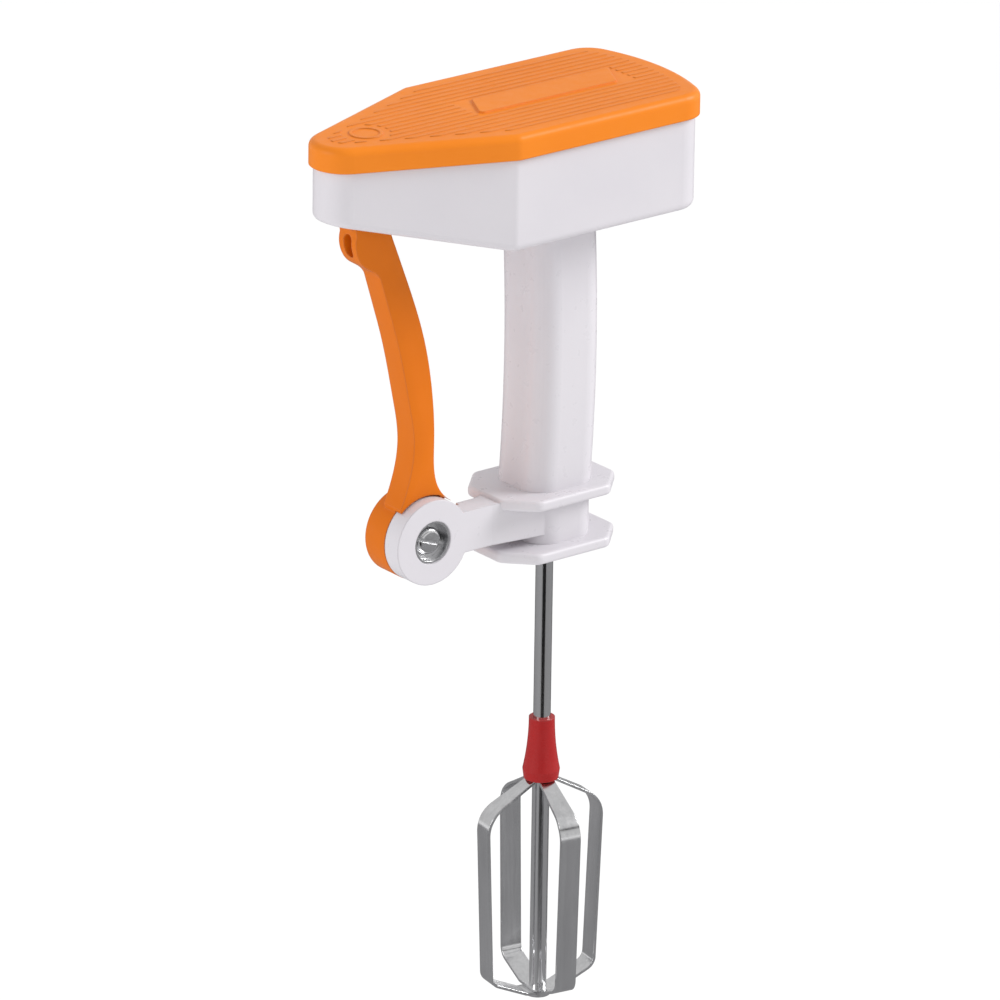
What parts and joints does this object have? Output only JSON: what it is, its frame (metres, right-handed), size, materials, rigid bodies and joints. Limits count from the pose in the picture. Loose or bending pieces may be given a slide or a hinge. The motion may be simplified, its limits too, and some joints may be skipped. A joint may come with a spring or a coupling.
{
  "type": "hand-squeezed egg beater",
  "caption": "Hand-held egg beater: squeezing the orange lever against the white grip drives a rack and gears in the head, which spin a steel strip whisk on a long spindle.",
  "frame": {"origin": "on the spindle's axis, at half the height of the grip", "axes": "+Z along the spindle up to the cover, -X towards the lever, Y across the head"},
  "size_m": [0.1336, 0.0588, 0.3013],
  "materials": {
    "white_case": "semi-gloss moulded",
    "white_grip": "semi-gloss moulded",
    "orange_cover": "satin moulded",
    "orange_lever": "satin moulded",
    "red_collar": "gloss moulded",
    "nylon_gear": "natural nylon",
    "nylon_rack": "natural nylon",
    "nylon_bush": "natural acetal",
    "steel_axle": "ground",
    "spring_steel": "drawn",
    "plated_screws": "bright plated",
    "chrome_spindle": "bright",
    "polished_strip": "polished"
  },
  "bodies": {
    "frame": {"gear_housing": "white_case", "top_cover": "orange_cover", "grip_handle": "white_grip", "cover_screws": "plated_screws", "grip_screws": "plated_screws", "spindle_bush_upper": "nylon_bush", "spindle_bush_lower": "nylon_bush", "first_gear_axle": "steel_axle", "second_gear_axle": "steel_axle", "gear_retainers": "spring_steel", "pivot_cup_washer": "plated_screws", "pivot_screw": "plated_screws", "pivot_sleeve": "steel_axle", "pivot_back_washer": "plated_screws", "pivot_nut": "plated_screws", "return_spring": "spring_steel"},
    "lever": {"squeeze_lever": "orange_lever", "link_pin": "steel_axle"},
    "rack": {"drive_rack": "nylon_rack"},
    "first_gear_body": {"first_gear": "nylon_gear"},
    "second_gear_body": {"second_gear": "nylon_gear"},
    "whisk": {"spindle": "chrome_spindle", "spindle_pinion": "nylon_gear", "thrust_washer": "spring_steel", "spindle_clip": "spring_steel", "whisk_collar": "red_collar", "whisk_loop_outer": "polished_strip", "whisk_loop_inner": "polished_strip", "whisk_end_nut": "chrome_spindle"}
  },
  "joints": [
    {"name": "whisk_spin", "type": "hinge", "parent": "frame", "child": "whisk", "pos_m": [0, 0, 0], "axis": [0, 0, 1], "range_deg": [0, 2457.66]},
    {"name": "lever_squeeze", "type": "hinge", "parent": "frame", "child": "lever", "pos_m": [-0.05, 0, -0.0523], "axis": [0, 1, 0], "range_deg": [0, 18.01], "stiffness_Nm_per_rad": 0.6, "springref_deg": -11.46},
    {"name": "rack_slide", "type": "slide", "parent": "frame", "child": "rack", "axis": [1, 0, 0], "range_m": [0, 0.03739]},
    {"name": "first_gear_spin", "type": "hinge", "parent": "frame", "child": "first_gear_body", "pos_m": [-0.0088, 0, 0.0582], "axis": [0, 0, 1], "range_deg": [0, 267.71]},
    {"name": "second_gear_spin", "type": "hinge", "parent": "frame", "child": "second_gear_body", "pos_m": [0.02, 0, 0.0547], "axis": [0, 0, 1], "range_deg": [-955.86, 0]}
  ],
  "couplings": [
    {"joint": "lever_squeeze", "follows": "whisk_spin", "ratio": 0.007324},
    {"joint": "rack_slide", "follows": "whisk_spin", "m_per_rad": 0.00087111},
    {"joint": "first_gear_spin", "follows": "whisk_spin", "ratio": 0.10889},
    {"joint": "second_gear_spin", "follows": "whisk_spin", "ratio": -0.38889}
  ]
}
